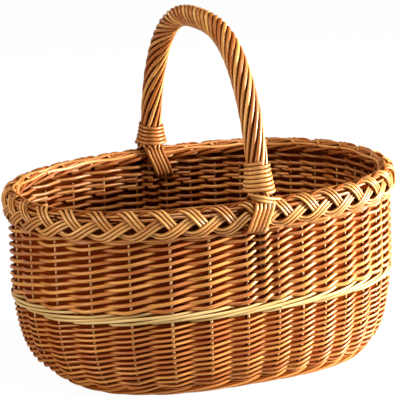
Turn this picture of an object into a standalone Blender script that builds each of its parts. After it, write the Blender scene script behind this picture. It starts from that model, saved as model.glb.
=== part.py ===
"""Oval willow basket with a roped bow handle. Metres, Z up, standing on Z = 0, its long axis along X."""

import math
from bisect import bisect_right

import bmesh
import bpy
from mathutils import Vector

# Wall: the line of the stakes, from the edge of the base to the border
RIM_HALF_LENGTH = 0.205
RIM_HALF_WIDTH = 0.142
END_INSET = 0.0555
SIDE_INSET = 0.024
TURN_HEIGHT = 0.115
RIM_SQUARENESS = 2.3
BASE_SQUARENESS = 2.75
TURN_SQUARENESS = 2.6
PROFILE_STEPS = 120
RING_STEPS = 720
SEAT_GAP = 0.0003
TURN_SEAT_GAP = 0.0007
PROBE = 0.0005

# Stakes, and the gap between the two that stand beside a bow leg
STAKE_RADIUS = 0.0022
STAKE_TAIL = 0.003
STAKES_RIGHT = 19
STAKES_LEFT = 14
BOW_GAP = 0.036
BEND_SLOPE_SHARES = (0, 0.12, 0.25, 0.37, 0.5, 0.62, 0.74, 0.86, 0.95, 1)

# Bands of the wall: where each one ends, its turns, and half the thickness of its rods
ROW_GAP = 0.00045
TIP_SHARE = 0.3
FOOT_RUN = 0.014
FOOT_TURNS = 3
FOOT_THICKNESS = 0.0024
GROUND_CUT = 0.0005
LOWER_TOP = 0.0825
LOWER_TURNS = 9
LOWER_THICKNESS = 0.0014
BAND_TOP = 0.0955
BAND_TURNS = 3
BAND_THICKNESS = 0.0018
UPPER_TOP = 0.1615
UPPER_TURNS = 8
UPPER_THICKNESS = 0.0017
TOP_WALE_TURNS = 2
TOP_WALE_THICKNESS = 0.0019
SIDING_RHYTHM = 2
WALE_RHYTHM = 4

# Border: a plait round the rim, wider than the wall and hanging over it
BORDER_TOP = 0.203
BORDER_HALF_HEIGHT = 0.017
BORDER_HALF_THICKNESS = 0.0105
BORDER_OVERHANG = 0.0015
BORDER_PLAITS = 28
BORDER_POINTS = 8
PLAIT_DEPTH_SHARE = 0.24
PLAIT_SHARES = (1.0, 0.3, 0.0, 0.3)
PLAIT_START_SHARE = 0.5
PLAIT_LEAN_SHARE = 0.75

# Base: sticks laid across one another, and the weave round them
BASE_THICKNESS = 0.0125
BASE_ROWS = 5
BASE_ROW_DEPTH = 0.0022
BASE_FACETS = 26
STICK_WIDTH = 0.0075
STICK_THICKNESS = 0.003
LONG_STICKS = 3
LONG_PITCH = 0.0098
CROSS_STICKS = 4
CROSS_PITCH = 0.032
LONG_STICK_COVER = 0.006
CROSS_STICK_COVER = 0.012
LONG_SPLAY_SHARE = 2.4
CROSS_SPLAY_SHARE = 1.75

# Handle: the bow, thinner where it goes down through the border, and pointed in the wall
BOW_RADIUS = 0.0065
BOW_BORDER_RADIUS = 0.0058
BOW_SHOULDER_RADIUS = 0.0048
BOW_TIP_RADIUS = 0.0016
BOW_TOP = 0.371
BOW_HALF_WIDTH = 0.1385
BOW_SHIFT = 0.004
BOW_SPRING_DROP = 0.0185
BOW_TIP_CLEARANCE = 0.004
BOW_SIDE_SQUARENESS = 2.7
BOW_CROWN_SQUARENESS = 2.04
BOW_SIDES = 8

# Rope round the bow: five rods from each leg, half a turn apart at the far leg
ROPE_RODS_EACH = 5
ROPE_HALF_TURNS = 9
ROPE_STEPS_PER_TURN = 8
ROPE_FOOT_TWIST_SHARE = 0.35
ROPE_ROD_HALF = 0.0021
ROPE_FOOT_LIFT = 0.0045
TAIL_PITCH = 0.0049
TAIL_LEAN = 0.007
TAIL_LENGTH = 0.006
TAIL_LEAN_SHARES = (1.0, 0.75, 0.5, 0.25, 0.1, 0.0)

# Lashings: one rod wound round each leg above the border
LASH_RADIUS = 0.0019
LASH_PITCH = 0.0045
LASH_START = 0.0030
NEAR_LASH_TURNS = 7
FAR_LASH_TURNS = 5
LASH_STEPS = 12

# Colours and roughness of the willow
ORANGE_BROWN = (0.50, 0.22, 0.07, 1.0)
GOLDEN_BROWN = (0.62, 0.33, 0.12, 1.0)
CREAM = (0.80, 0.62, 0.33, 1.0)
DARK_BROWN = (0.30, 0.12, 0.04, 1.0)
WILLOW_ROUGHNESS = 0.38

# Sizes that follow from the ones above
SEAT_HEIGHT = STAKE_RADIUS + TURN_SEAT_GAP + 2 * FOOT_THICKNESS - GROUND_CUT
ROPE_FOOT_HEIGHT = BORDER_TOP + ROPE_FOOT_LIFT
BOW_SPRING = ROPE_FOOT_HEIGHT - BOW_SPRING_DROP
BORDER_BOTTOM = BORDER_TOP - 2 * BORDER_HALF_HEIGHT
BORDER_MIDDLE = BORDER_TOP - BORDER_HALF_HEIGHT
ROPE_STEP = 2 * math.pi / ROPE_STEPS_PER_TURN
ROPE_RADIUS = (BOW_RADIUS + SEAT_GAP) / math.cos(ROPE_STEP / 2) + ROPE_ROD_HALF
LASH_STEP = 2 * math.pi / LASH_STEPS
LASH_COIL_RADIUS = (ROPE_RADIUS + ROPE_ROD_HALF + SEAT_GAP + LASH_RADIUS) / math.cos(LASH_STEP / 2)
ROUND_ANGLE = math.radians(50)
FRONT = math.atan(BOW_SHIFT / RIM_HALF_WIDTH) - math.pi / 2
BACK = -FRONT
ALONG_MIRROR = Vector((-1, 1, 0))
ACROSS_MIRROR = Vector((1, -1, 0))


def clear_scene():
    for thing in list(bpy.data.objects):
        bpy.data.objects.remove(thing, do_unlink=True)


def willow(name, colour):
    material = bpy.data.materials.new(name)
    material.use_nodes = True
    shader = material.node_tree.nodes["Principled BSDF"]
    shader.inputs["Base Color"].default_value = colour
    shader.inputs["Roughness"].default_value = WILLOW_ROUGHNESS
    shader.inputs["Metallic"].default_value = 0.0
    material.diffuse_color = colour
    return material


def add_object(name, mesh, colour):
    mesh.materials.append(willow(f"{name}_willow", colour))
    thing = bpy.data.objects.new(name, mesh)
    bpy.context.collection.objects.link(thing)
    return thing


def finish_mesh(name, bm, colour):
    bmesh.ops.recalc_face_normals(bm, faces=bm.faces)
    mesh = bpy.data.meshes.new(name)
    bm.to_mesh(mesh)
    bm.free()
    mesh.shade_smooth()
    mesh.set_sharp_from_angle(angle=ROUND_ANGLE)
    return add_object(name, mesh, colour)


def drawn_rod(name, sections, colour):
    """A rod drawn through a row of cross-sections, each a ring of corner points, and closed at both ends."""
    bm = bmesh.new()
    butt = [bm.verts.new(corner) for corner in sections[0]]
    front = bm.faces.new(butt)
    for section in sections[1:]:
        front = bmesh.ops.extrude_discrete_faces(bm, faces=[front])["faces"][0]
        for vert, corner in zip(front.verts, section):
            vert.co = corner
    bmesh.ops.contextual_create(bm, geom=butt)
    return finish_mesh(name, bm, colour)


def drawn_ring(name, sections, colour):
    """A closed ring drawn through cross-sections."""
    bm = bmesh.new()
    rings = []
    for section in sections:
        verts = [bm.verts.new(corner) for corner in section]
        rings.append([bm.edges.new((a, b)) for a, b in zip(verts, verts[1:] + verts[:1])])
    for ring, following in zip(rings, rings[1:] + rings[:1]):
        bmesh.ops.bridge_loops(bm, edges=ring + following)
    return finish_mesh(name, bm, colour)


def cut(thing, cutter):
    """Take a guide solid out of a piece with a Boolean."""
    cutter.hide_render = True
    cutter.display_type = "WIRE"
    boolean = thing.modifiers.new(f"cut_{cutter.name}", "BOOLEAN")
    boolean.operation = "DIFFERENCE"
    boolean.solver = "EXACT"
    boolean.object = cutter


def box_between(name, low, high, colour):
    bm = bmesh.new()
    bmesh.ops.create_cube(bm, size=1.0)
    low = Vector(low)
    high = Vector(high)
    bmesh.ops.scale(bm, vec=high - low, verts=bm.verts)
    bmesh.ops.translate(bm, vec=(low + high) / 2, verts=bm.verts)
    return finish_mesh(name, bm, colour)


# The wall as a surface: direction round the basket, run up the wall, and distance outward


def oval_radius(direction, half_length, half_width, squareness):
    along = abs(math.cos(direction)) / half_length
    across = abs(math.sin(direction)) / half_width
    return (along**squareness + across**squareness) ** (-1 / squareness)


def turn_height(angle):
    return SEAT_HEIGHT + (TURN_HEIGHT - SEAT_HEIGHT) * (1 - math.cos(angle) ** (2 / TURN_SQUARENESS))


def turn_share(angle):
    """How much of the inset is left: 1 at the edge of the base, 0 where the wall stands upright."""
    return 1 - math.sin(angle) ** (2 / TURN_SQUARENESS)


def read_across(places, values, place):
    """The value at a place between two listed ones."""
    step = min(bisect_right(places, place), len(places) - 1) - 1
    part = (place - places[step]) / (places[step + 1] - places[step])
    return values[step] + part * (values[step + 1] - values[step])


def measure_profile():
    """The angles of the turn and the distance run up the side wall at each."""
    angles = [math.pi / 2 * step / PROFILE_STEPS for step in range(PROFILE_STEPS + 1)]
    angles[-1] = math.pi / 2
    runs = [0.0]
    for low, high in zip(angles, angles[1:]):
        climb = turn_height(high) - turn_height(low)
        reach = SIDE_INSET * (turn_share(low) - turn_share(high))
        runs.append(runs[-1] + math.hypot(climb, reach))
    return angles, runs


TURN_ANGLES, TURN_RUNS = measure_profile()


def run_at(height):
    """The distance up the side wall at a height above the ground."""
    if height >= TURN_HEIGHT:
        return TURN_RUNS[-1] + height - TURN_HEIGHT
    return read_across([turn_height(angle) for angle in TURN_ANGLES], TURN_RUNS, height)


def turn_run(slope):
    """The run at which the wall at the ends of the basket has turned to a slope from level."""
    steepness = math.tan(slope) * END_INSET / (TURN_HEIGHT - SEAT_HEIGHT)
    angle = math.atan(steepness ** (1 / (2 - 2 / TURN_SQUARENESS)))
    return read_across(TURN_ANGLES, TURN_RUNS, angle)


def wall_line(direction, run):
    if run >= TURN_RUNS[-1]:
        share = 0.0
        height = TURN_HEIGHT + run - TURN_RUNS[-1]
    else:
        angle = read_across(TURN_RUNS, TURN_ANGLES, max(run, 0))
        share = turn_share(angle)
        height = turn_height(angle)
    half_length = RIM_HALF_LENGTH - END_INSET * share
    half_width = RIM_HALF_WIDTH - SIDE_INSET * share
    squareness = RIM_SQUARENESS + (BASE_SQUARENESS - RIM_SQUARENESS) * share
    radius = oval_radius(direction, half_length, half_width, squareness)
    return Vector((radius * math.cos(direction), radius * math.sin(direction), height))


def wall_axes(direction, run):
    """Unit vectors along the wall, anticlockwise from above, and straight out of it."""
    turn = PROBE / RIM_HALF_LENGTH
    along = wall_line(direction + turn, run) - wall_line(direction - turn, run)
    up = wall_line(direction, run + PROBE) - wall_line(direction, run - PROBE)
    outward = along.cross(up)
    return along.normalized(), outward.normalized()


def wall_point(direction, run, offset):
    return wall_line(direction, run) + wall_axes(direction, run)[1] * offset


def rim_directions(start, end, count):
    """Directions of the stakes on one side of the handle, evenly spaced between the two bow legs."""
    angles = [start + (end - start) * step / RING_STEPS for step in range(RING_STEPS + 1)]
    rim_run = TURN_RUNS[-1]
    points = [wall_line(angle, rim_run) for angle in angles]
    lengths = [0.0]
    for here, there in zip(points, points[1:]):
        lengths.append(lengths[-1] + (there - here).length)
    pitch = (lengths[-1] - BOW_GAP) / (count - 1)
    return [read_across(lengths, angles, BOW_GAP / 2 + pitch * stake) for stake in range(count)]


# Handle line: an upright arch across the basket, from the front leg over to the back leg


def bow_line():
    """Points along the bow, from its foot at the front border to its foot at the back."""
    rise = BOW_TOP - BOW_SPRING
    start = math.asin(((ROPE_FOOT_HEIGHT - BOW_SPRING) / rise) ** (BOW_CROWN_SQUARENESS / 2))
    half = []
    for step in range(RING_STEPS + 1):
        angle = start + (math.pi / 2 - start) * step / RING_STEPS
        across = BOW_HALF_WIDTH * max(math.cos(angle), 0) ** (2 / BOW_SIDE_SQUARENESS)
        height = BOW_SPRING + rise * math.sin(angle) ** (2 / BOW_CROWN_SQUARENESS)
        half.append(Vector((BOW_SHIFT, -across, height)))
    half[-1].y = 0
    return half + [Vector((BOW_SHIFT, -point.y, point.z)) for point in reversed(half[:-1])]


BOW_POINTS = bow_line()
BOW_LENGTHS = [0.0]
for bow_here, bow_there in zip(BOW_POINTS, BOW_POINTS[1:]):
    BOW_LENGTHS.append(BOW_LENGTHS[-1] + (bow_there - bow_here).length)
BOW_LENGTH = BOW_LENGTHS[-1]


def bow_frame(distance):
    """Point on the bow and its outward direction, at a distance from the front foot."""
    step = min(max(bisect_right(BOW_LENGTHS, distance) - 1, 0), len(BOW_LENGTHS) - 2)
    low = BOW_POINTS[step]
    high = BOW_POINTS[step + 1]
    part = (distance - BOW_LENGTHS[step]) / (BOW_LENGTHS[step + 1] - BOW_LENGTHS[step])
    before = BOW_POINTS[max(step - 1, 0)]
    after = BOW_POINTS[min(step + 2, len(BOW_POINTS) - 1)]
    tangent = (after - before).normalized()
    outward = Vector((0, -tangent.z, tangent.y))
    return low.lerp(high, part), outward


def leg_reach(height):
    """Half the distance between the legs where they lean in through the border."""
    share = (height - BORDER_BOTTOM) / (ROPE_FOOT_HEIGHT - BORDER_BOTTOM)
    return RIM_HALF_WIDTH + (abs(BOW_POINTS[0].y) - RIM_HALF_WIDTH) * share


def tang_radius(height):
    """Radius of the bow leg inside the wall, from its tip above the cream band up to the border."""
    tip = BAND_TOP + BOW_TIP_CLEARANCE
    part = min(max((height - tip) / (BORDER_BOTTOM - tip), 0), 1)
    return BOW_TIP_RADIUS + (BOW_SHOULDER_RADIUS - BOW_TIP_RADIUS) * part


# Stakes and weave


def stake_section(direction, run, centre, outward):
    along = wall_axes(direction, run)[0]
    corners = (outward, along, -outward, -along)
    return [centre + corner * STAKE_RADIUS for corner in corners]


def make_stakes(directions):
    top = run_at(BORDER_BOTTOM - 2 * SEAT_GAP)
    bends = [turn_run(math.pi / 2 * share) for share in BEND_SLOPE_SHARES]
    for number, direction in enumerate(directions):
        outward = wall_axes(direction, 0)[1]
        inward = Vector((-math.cos(direction), -math.sin(direction), 0))
        tail = wall_line(direction, 0) + inward * STAKE_TAIL
        sections = [stake_section(direction, 0, tail, outward)]
        for run in bends + [top]:
            centre = wall_line(direction, run)
            sections.append(stake_section(direction, run, centre, wall_axes(direction, run)[1]))
        drawn_rod(f"stake_{number + 1:02d}", sections, ORANGE_BROWN)


def stations_round(directions, with_legs):
    """Where the rods of a row touch: each stake once, and each bow leg on its two shoulders."""
    stations = [(direction, "stake") for direction in directions]
    if with_legs:
        shoulder = BOW_SHOULDER_RADIUS / 2 / RIM_HALF_WIDTH
        for leg in (FRONT, BACK):
            stations += [(leg - shoulder, "leg_first"), (leg + shoulder, "leg_second")]
    seam = directions[STAKES_RIGHT + 2]
    return sorted(stations, key=lambda station: (station[0] - seam) % (2 * math.pi))


def make_rows(name, stations, low, high, turns, thickness, rhythm, colour):
    """One rod worked round and round the stakes, each turn lying on the turn below it."""
    seat = TURN_SEAT_GAP if low < TURN_RUNS[-1] else SEAT_GAP
    full = (high - low - (turns - 1) * ROW_GAP) / (turns - 1 + TIP_SHARE)
    per_turn = len(stations)
    tops = []
    sections = []
    passed = 0
    for step in range(turns * per_turn):
        direction, upright = stations[step % per_turn]
        round_share = step % per_turn / per_turn
        height = full
        if step < per_turn:
            height = full * (TIP_SHARE + (1 - TIP_SHARE) * round_share)
        elif step >= (turns - 1) * per_turn:
            height = full * (1 - (1 - TIP_SHARE) * round_share)
        floor = low if step < per_turn else tops[step - per_turn] + ROW_GAP
        top = floor + height
        tops.append(top)
        if upright != "leg_second":
            passed += 1
        side = -1 if passed % rhythm == 0 else 1
        radius = STAKE_RADIUS
        if upright != "stake":
            radius = tang_radius(wall_line(direction, top).z)
        middle = side * (radius + seat + thickness)
        sections.append(
            [
                wall_point(direction, floor, middle - thickness),
                wall_point(direction, floor, middle + thickness),
                wall_point(direction, top, middle + thickness),
                wall_point(direction, top, middle - thickness),
            ]
        )
    return drawn_rod(name, sections, colour)


def make_wall(directions):
    plain = stations_round(directions, False)
    legged = stations_round(directions, True)
    lower_top = run_at(LOWER_TOP)
    band_top = run_at(BAND_TOP)
    upper_top = run_at(UPPER_TOP)
    wale_top = run_at(BORDER_BOTTOM - SEAT_GAP)
    foot = make_rows(
        "foot_wale", plain, 0, FOOT_RUN, FOOT_TURNS, FOOT_THICKNESS, WALE_RHYTHM, GOLDEN_BROWN
    )
    reach = RIM_HALF_LENGTH + BORDER_HALF_THICKNESS
    ground = box_between("ground_cut", (-reach, -reach, -SEAT_HEIGHT), (reach, reach, 0), DARK_BROWN)
    cut(foot, ground)
    make_rows(
        "lower_siding", plain, FOOT_RUN + ROW_GAP, lower_top, LOWER_TURNS, LOWER_THICKNESS,
        SIDING_RHYTHM, ORANGE_BROWN,
    )
    make_rows(
        "cream_band", plain, lower_top + ROW_GAP, band_top, BAND_TURNS, BAND_THICKNESS,
        WALE_RHYTHM, CREAM,
    )
    make_rows(
        "upper_siding", legged, band_top + ROW_GAP, upper_top, UPPER_TURNS, UPPER_THICKNESS,
        SIDING_RHYTHM, GOLDEN_BROWN,
    )
    make_rows(
        "top_wale", legged, upper_top + ROW_GAP, wale_top, TOP_WALE_TURNS, TOP_WALE_THICKNESS,
        WALE_RHYTHM, GOLDEN_BROWN,
    )


# Border


def plait_share(station, corner_angle):
    """How deep the surface lies between two groups of rods, which meet in a V half way up the border."""
    lean = PLAIT_START_SHARE + PLAIT_LEAN_SHARE * (1 - abs(math.sin(corner_angle)))
    lag = round(lean * len(PLAIT_SHARES))
    return PLAIT_SHARES[(station - lag) % len(PLAIT_SHARES)]


def make_border():
    count = BORDER_PLAITS * len(PLAIT_SHARES)
    rim_run = run_at(BORDER_MIDDLE)
    angles = [2 * math.pi * step / RING_STEPS for step in range(RING_STEPS + 1)]
    points = [wall_line(angle, rim_run) for angle in angles]
    lengths = [0.0]
    for here, there in zip(points, points[1:]):
        lengths.append(lengths[-1] + (there - here).length)
    sections = []
    for station in range(count):
        direction = read_across(lengths, angles, lengths[-1] * station / count)
        outward = wall_axes(direction, rim_run)[1]
        centre = wall_line(direction, rim_run) + outward * BORDER_OVERHANG
        section = []
        for corner in range(BORDER_POINTS):
            angle = 2 * math.pi * corner / BORDER_POINTS
            swell = 1 - PLAIT_DEPTH_SHARE * plait_share(station, angle)
            out = outward * (BORDER_HALF_THICKNESS * math.cos(angle) * swell)
            up = Vector((0, 0, BORDER_HALF_HEIGHT * math.sin(angle) * swell))
            section.append(centre + out + up)
        sections.append(section)
    border = drawn_ring("border_plait", sections, GOLDEN_BROWN)
    for name, side in (("front_leg_hole", -1), ("back_leg_hole", 1)):
        sections = []
        for height in (BORDER_BOTTOM - BOW_RADIUS, BORDER_TOP + BOW_RADIUS):
            centre = Vector((BOW_SHIFT, side * leg_reach(height), height))
            sections.append(round_section(centre, Vector((0, side, 0)), BOW_BORDER_RADIUS + 2 * SEAT_GAP))
        cut(border, drawn_rod(name, sections, DARK_BROWN))


# Base


def make_base():
    edge = STAKE_TAIL + SEAT_GAP
    outer_length = RIM_HALF_LENGTH - END_INSET - edge
    outer_width = RIM_HALF_WIDTH - SIDE_INSET - edge
    long_half = (LONG_STICKS - 1) / 2 * LONG_PITCH + STICK_WIDTH / 2
    cross_half = (CROSS_STICKS - 1) / 2 * CROSS_PITCH + STICK_WIDTH / 2
    middle = BASE_THICKNESS / 2 + GROUND_CUT
    low = middle - BASE_THICKNESS / 2
    high = middle + BASE_THICKNESS / 2
    profile = [(0, low + BASE_ROW_DEPTH), (0, high - BASE_ROW_DEPTH)]
    for row in range(BASE_ROWS):
        profile.append(((row + 0.5) / BASE_ROWS, high))
        profile.append(((row + 1) / BASE_ROWS, high - BASE_ROW_DEPTH))
    profile.append((1, low + BASE_ROW_DEPTH))
    profile.append((1 - 0.5 / BASE_ROWS, low))
    profile.append((0.5 / BASE_ROWS, low))
    sections = []
    for facet in range(BASE_FACETS):
        direction = 2 * math.pi * facet / BASE_FACETS
        inner = oval_radius(direction, cross_half + SEAT_GAP, long_half + SEAT_GAP, BASE_SQUARENESS)
        outer = wall_line(direction, 0).xy.length - edge
        section = []
        for share, height in profile:
            radius = inner + (outer - inner) * share
            section.append(Vector((radius * math.cos(direction), radius * math.sin(direction), height)))
        sections.append(section)
    weave = drawn_ring("base_weave", sections, ORANGE_BROWN)

    for number in range(LONG_STICKS):
        across = (number - (LONG_STICKS - 1) / 2) * LONG_PITCH
        far = Vector((outer_length - LONG_STICK_COVER, across * LONG_SPLAY_SHARE, 0))
        near = Vector((cross_half, across, 0))
        make_stick(f"base_stick_long_{number + 1}", weave, (far, near), ALONG_MIRROR, middle + SEAT_GAP / 2)
    for number in range(CROSS_STICKS):
        along = (number - (CROSS_STICKS - 1) / 2) * CROSS_PITCH
        splayed = along * CROSS_SPLAY_SHARE
        reach = (1 - abs(splayed / outer_length) ** BASE_SQUARENESS) ** (1 / BASE_SQUARENESS)
        far = Vector((splayed, outer_width * reach - CROSS_STICK_COVER, 0))
        near = Vector((along, long_half, 0))
        low = middle - SEAT_GAP / 2 - STICK_THICKNESS
        make_stick(f"base_stick_cross_{number + 1}", weave, (far, near), ACROSS_MIRROR, low)


def stick_sections(places, half_width, low, high):
    """Flat cross-sections of a stick at each of its places, square to the way it runs there."""
    sections = []
    for number, place in enumerate(places):
        way = places[min(number + 1, len(places) - 1)] - places[max(number - 1, 0)]
        side = Vector((-way.y, way.x, 0)).normalized() * half_width
        corners = ((-side, low), (side, low), (side, high), (-side, high))
        sections.append([place + aside + Vector((0, 0, height)) for aside, height in corners])
    return sections


def make_stick(name, weave, half, mirror, low):
    """A stick, straight in the middle of the base and splayed at its ends, and its channel in the weave."""
    far, near = half
    places = [far, near, near * mirror, far * mirror]
    drawn_rod(name, stick_sections(places, STICK_WIDTH / 2, low, low + STICK_THICKNESS), DARK_BROWN)
    overrun = (far - near).normalized() * SEAT_GAP
    places = [far + overrun, near, near * mirror, (far + overrun) * mirror]
    wide = STICK_WIDTH / 2 + SEAT_GAP
    floor = low - SEAT_GAP / 2
    ceiling = low + STICK_THICKNESS + SEAT_GAP / 2
    cut(weave, drawn_rod(f"{name}_channel", stick_sections(places, wide, floor, ceiling), DARK_BROWN))


# Handle


def round_section(centre, outward, radius):
    side = Vector((1, 0, 0))
    section = []
    for corner in range(BOW_SIDES):
        angle = 2 * math.pi * corner / BOW_SIDES
        section.append(centre + (outward * math.cos(angle) + side * math.sin(angle)) * radius)
    return section


def make_bow():
    tip = BAND_TOP + BOW_TIP_CLEARANCE
    leg = [
        (tip, RIM_HALF_WIDTH, BOW_TIP_RADIUS),
        (BORDER_BOTTOM, RIM_HALF_WIDTH, BOW_SHOULDER_RADIUS),
        (BORDER_BOTTOM + BOW_BORDER_RADIUS, leg_reach(BORDER_BOTTOM + BOW_BORDER_RADIUS), BOW_BORDER_RADIUS),
        (BORDER_TOP, leg_reach(BORDER_TOP), BOW_BORDER_RADIUS),
    ]
    front = []
    back = []
    for height, reach, radius in leg:
        front.append(round_section(Vector((BOW_SHIFT, -reach, height)), Vector((0, -1, 0)), radius))
        back.append(round_section(Vector((BOW_SHIFT, reach, height)), Vector((0, 1, 0)), radius))
    arch = []
    for distance in rope_distances():
        centre, outward = bow_frame(distance)
        arch.append(round_section(centre, outward, BOW_RADIUS))
    drawn_rod("handle_bow", front + arch + back[::-1], DARK_BROWN)


def rope_twist(distance):
    """How far the rope has turned round the bow, slower at the feet than over the crown."""
    share = distance / BOW_LENGTH
    foot = ROPE_FOOT_TWIST_SHARE
    slow = foot * share
    fast = (1 - foot) * (share / 2 - math.sin(2 * math.pi * share) / (4 * math.pi))
    return ROPE_HALF_TURNS * math.pi * (slow + fast) / (foot + (1 - foot) / 2)


def rope_distances():
    """Distances along the bow between which the rope turns through equal steps."""
    distances = [BOW_LENGTH * step / RING_STEPS for step in range(RING_STEPS + 1)]
    twists = [rope_twist(distance) for distance in distances]
    steps = round(ROPE_HALF_TURNS * math.pi / ROPE_STEP)
    return [distances[min(bisect_right(twists, ROPE_STEP * step), RING_STEPS)] for step in range(steps + 1)]


def rod_section(centre, outward, side, half_width):
    return [
        centre - outward * ROPE_ROD_HALF,
        centre - side * half_width,
        centre + outward * ROPE_ROD_HALF,
        centre + side * half_width,
    ]


def tail_line(number, leg_side, border_side):
    """Where a rope rod passes from the wall, up over the border, to its leg.

    leg_side is -1 at the front leg and 1 at the back one. border_side is 1 where the rod passes outside
    the border and -1 where it passes inside.
    """
    clear = BORDER_OVERHANG * border_side + BORDER_HALF_THICKNESS + 2 * SEAT_GAP + ROPE_ROD_HALF
    wall_face = tang_radius(BORDER_BOTTOM) + 2 * SEAT_GAP + 2 * TOP_WALE_THICKNESS + ROPE_ROD_HALF
    quarter = BORDER_HALF_HEIGHT / 2
    ring_out = ROPE_RADIUS * abs(math.cos(number * math.pi / ROPE_RODS_EACH))
    shoulder = BORDER_TOP - ROPE_ROD_HALF
    crest = BORDER_TOP + ROPE_ROD_HALF - SEAT_GAP
    beside_leg = BOW_BORDER_RADIUS + 2 * SEAT_GAP + ROPE_ROD_HALF
    shoulder_inset = (RIM_HALF_WIDTH - leg_reach(shoulder)) * border_side
    crest_inset = (RIM_HALF_WIDTH - leg_reach(crest)) * border_side
    places = [
        (BORDER_BOTTOM - TAIL_LENGTH, wall_face),
        (BORDER_BOTTOM - ROPE_ROD_HALF, wall_face),
        (BORDER_MIDDLE - quarter, clear),
        (BORDER_MIDDLE + quarter, clear),
        (shoulder, max(clear - ROPE_ROD_HALF, beside_leg - shoulder_inset)),
        (crest, (ring_out + 2 * ROPE_RADIUS) / 3 - crest_inset),
    ]
    line = []
    for (height, out), lean_share in zip(places, TAIL_LEAN_SHARES):
        across = BOW_SHIFT + border_side * number * TAIL_PITCH - TAIL_LEAN * lean_share
        line.append(Vector((across, leg_side * (RIM_HALF_WIDTH + border_side * out), height)))
    return line


def make_rope():
    """Ten rods wound as a rope: five pass outside the border in front, and five outside it at the back."""
    spacing = math.pi / ROPE_RODS_EACH
    half_slot = ROPE_RADIUS * math.sin(spacing / 2) - SEAT_GAP
    distances = rope_distances()
    front = Vector((0, -1, 0))
    right = Vector((1, 0, 0))
    for rod in range(ROPE_RODS_EACH):
        number = rod - (ROPE_RODS_EACH - 1) / 2
        sections = [rod_section(centre, front, right, ROPE_ROD_HALF) for centre in tail_line(number, -1, 1)]
        for distance in distances:
            turned = number * spacing + rope_twist(distance)
            axis, bow_out = bow_frame(distance)
            out = bow_out * math.cos(turned) + right * math.sin(turned)
            side = right * math.cos(turned) - bow_out * math.sin(turned)
            sections.append(rod_section(axis + out * ROPE_RADIUS, out, side, half_slot))
        for centre in reversed(tail_line(number, 1, -1)):
            sections.append(rod_section(centre, front, -right, ROPE_ROD_HALF))
        thing = drawn_rod(f"rope_rod_{rod + 1:02d}", sections, GOLDEN_BROWN)
        twin = bpy.data.objects.new(f"rope_rod_{rod + 1 + ROPE_RODS_EACH:02d}", thing.data)
        twin.rotation_euler.z = math.pi
        twin.location.x = 2 * BOW_SHIFT
        bpy.context.collection.objects.link(twin)


def least_gap(points, radius):
    """The least distance between two turns of a coil, surface to surface."""
    gap = math.inf
    for first, point in enumerate(points):
        for other in points[first + LASH_STEPS // 2 :]:
            gap = min(gap, (other - point).length - 2 * radius)
    return gap


def make_lashing(name, from_front, turns):
    points = []
    for step in range(turns * LASH_STEPS + 1):
        climb = LASH_START + LASH_PITCH * step / LASH_STEPS
        distance = climb if from_front else BOW_LENGTH - climb
        axis, outward = bow_frame(distance)
        angle = LASH_STEP * step
        around = outward * math.cos(angle) + Vector((math.sin(angle), 0, 0))
        points.append(axis + around * LASH_COIL_RADIUS)
    curve = bpy.data.curves.new(name, "CURVE")
    curve.dimensions = "3D"
    curve.bevel_depth = LASH_RADIUS
    curve.bevel_resolution = 1
    curve.use_fill_caps = True
    spline = curve.splines.new("POLY")
    spline.points.add(len(points) - 1)
    for target, point in zip(spline.points, points):
        target.co = (*point, 1)
    add_object(name, curve, CREAM)
    print(f"{name}: least gap between turns {least_gap(points, LASH_RADIUS) * 1000:.2f} mm")


def main():
    clear_scene()
    right = rim_directions(FRONT, BACK, STAKES_RIGHT)
    left = rim_directions(BACK, FRONT + 2 * math.pi, STAKES_LEFT)
    directions = right + left
    make_stakes(directions)
    make_wall(directions)
    make_border()
    make_base()
    make_bow()
    make_rope()
    make_lashing("lashing_near", True, NEAR_LASH_TURNS)
    make_lashing("lashing_far", False, FAR_LASH_TURNS)


main()
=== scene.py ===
"""Oval willow basket with a roped bow handle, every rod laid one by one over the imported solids. Metres, Z up."""

import math
import random
from bisect import bisect_right
from dataclasses import dataclass

import bmesh
import bpy
import numpy as np
from mathutils import Matrix, Vector


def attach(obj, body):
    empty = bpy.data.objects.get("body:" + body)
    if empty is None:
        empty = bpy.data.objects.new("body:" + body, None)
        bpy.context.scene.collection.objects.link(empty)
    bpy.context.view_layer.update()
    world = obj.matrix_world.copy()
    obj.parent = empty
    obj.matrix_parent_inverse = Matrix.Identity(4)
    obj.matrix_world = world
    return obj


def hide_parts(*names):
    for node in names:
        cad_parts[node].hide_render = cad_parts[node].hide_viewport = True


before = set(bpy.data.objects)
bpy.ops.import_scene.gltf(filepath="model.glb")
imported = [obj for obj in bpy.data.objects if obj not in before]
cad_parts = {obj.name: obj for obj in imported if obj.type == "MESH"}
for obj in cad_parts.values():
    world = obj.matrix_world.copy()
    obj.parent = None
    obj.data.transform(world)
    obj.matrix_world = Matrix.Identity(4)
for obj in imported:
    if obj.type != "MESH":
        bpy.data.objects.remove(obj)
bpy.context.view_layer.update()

# Wall: the line of the stakes, from the edge of the base to the border
RIM_HALF_LENGTH = 0.205
RIM_HALF_WIDTH = 0.142
END_INSET = 0.0555
SIDE_INSET = 0.024
TURN_HEIGHT = 0.115
SEAT_HEIGHT = 0.0072
RIM_SQUARENESS = 2.3
BASE_SQUARENESS = 2.75
TURN_SQUARENESS = 2.6
PROFILE_STEPS = 120
RING_STEPS = 720
PROBE = 0.0005

# Stakes, and the gap between the two that stand beside a bow leg
STAKE_RADIUS = 0.0019
STAKE_TIP_RADIUS = 0.0016
STAKE_TAIL = 0.003
STAKE_POINTS = 26
STAKES_RIGHT = 19
STAKES_LEFT = 14
BOW_GAP = 0.036

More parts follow.
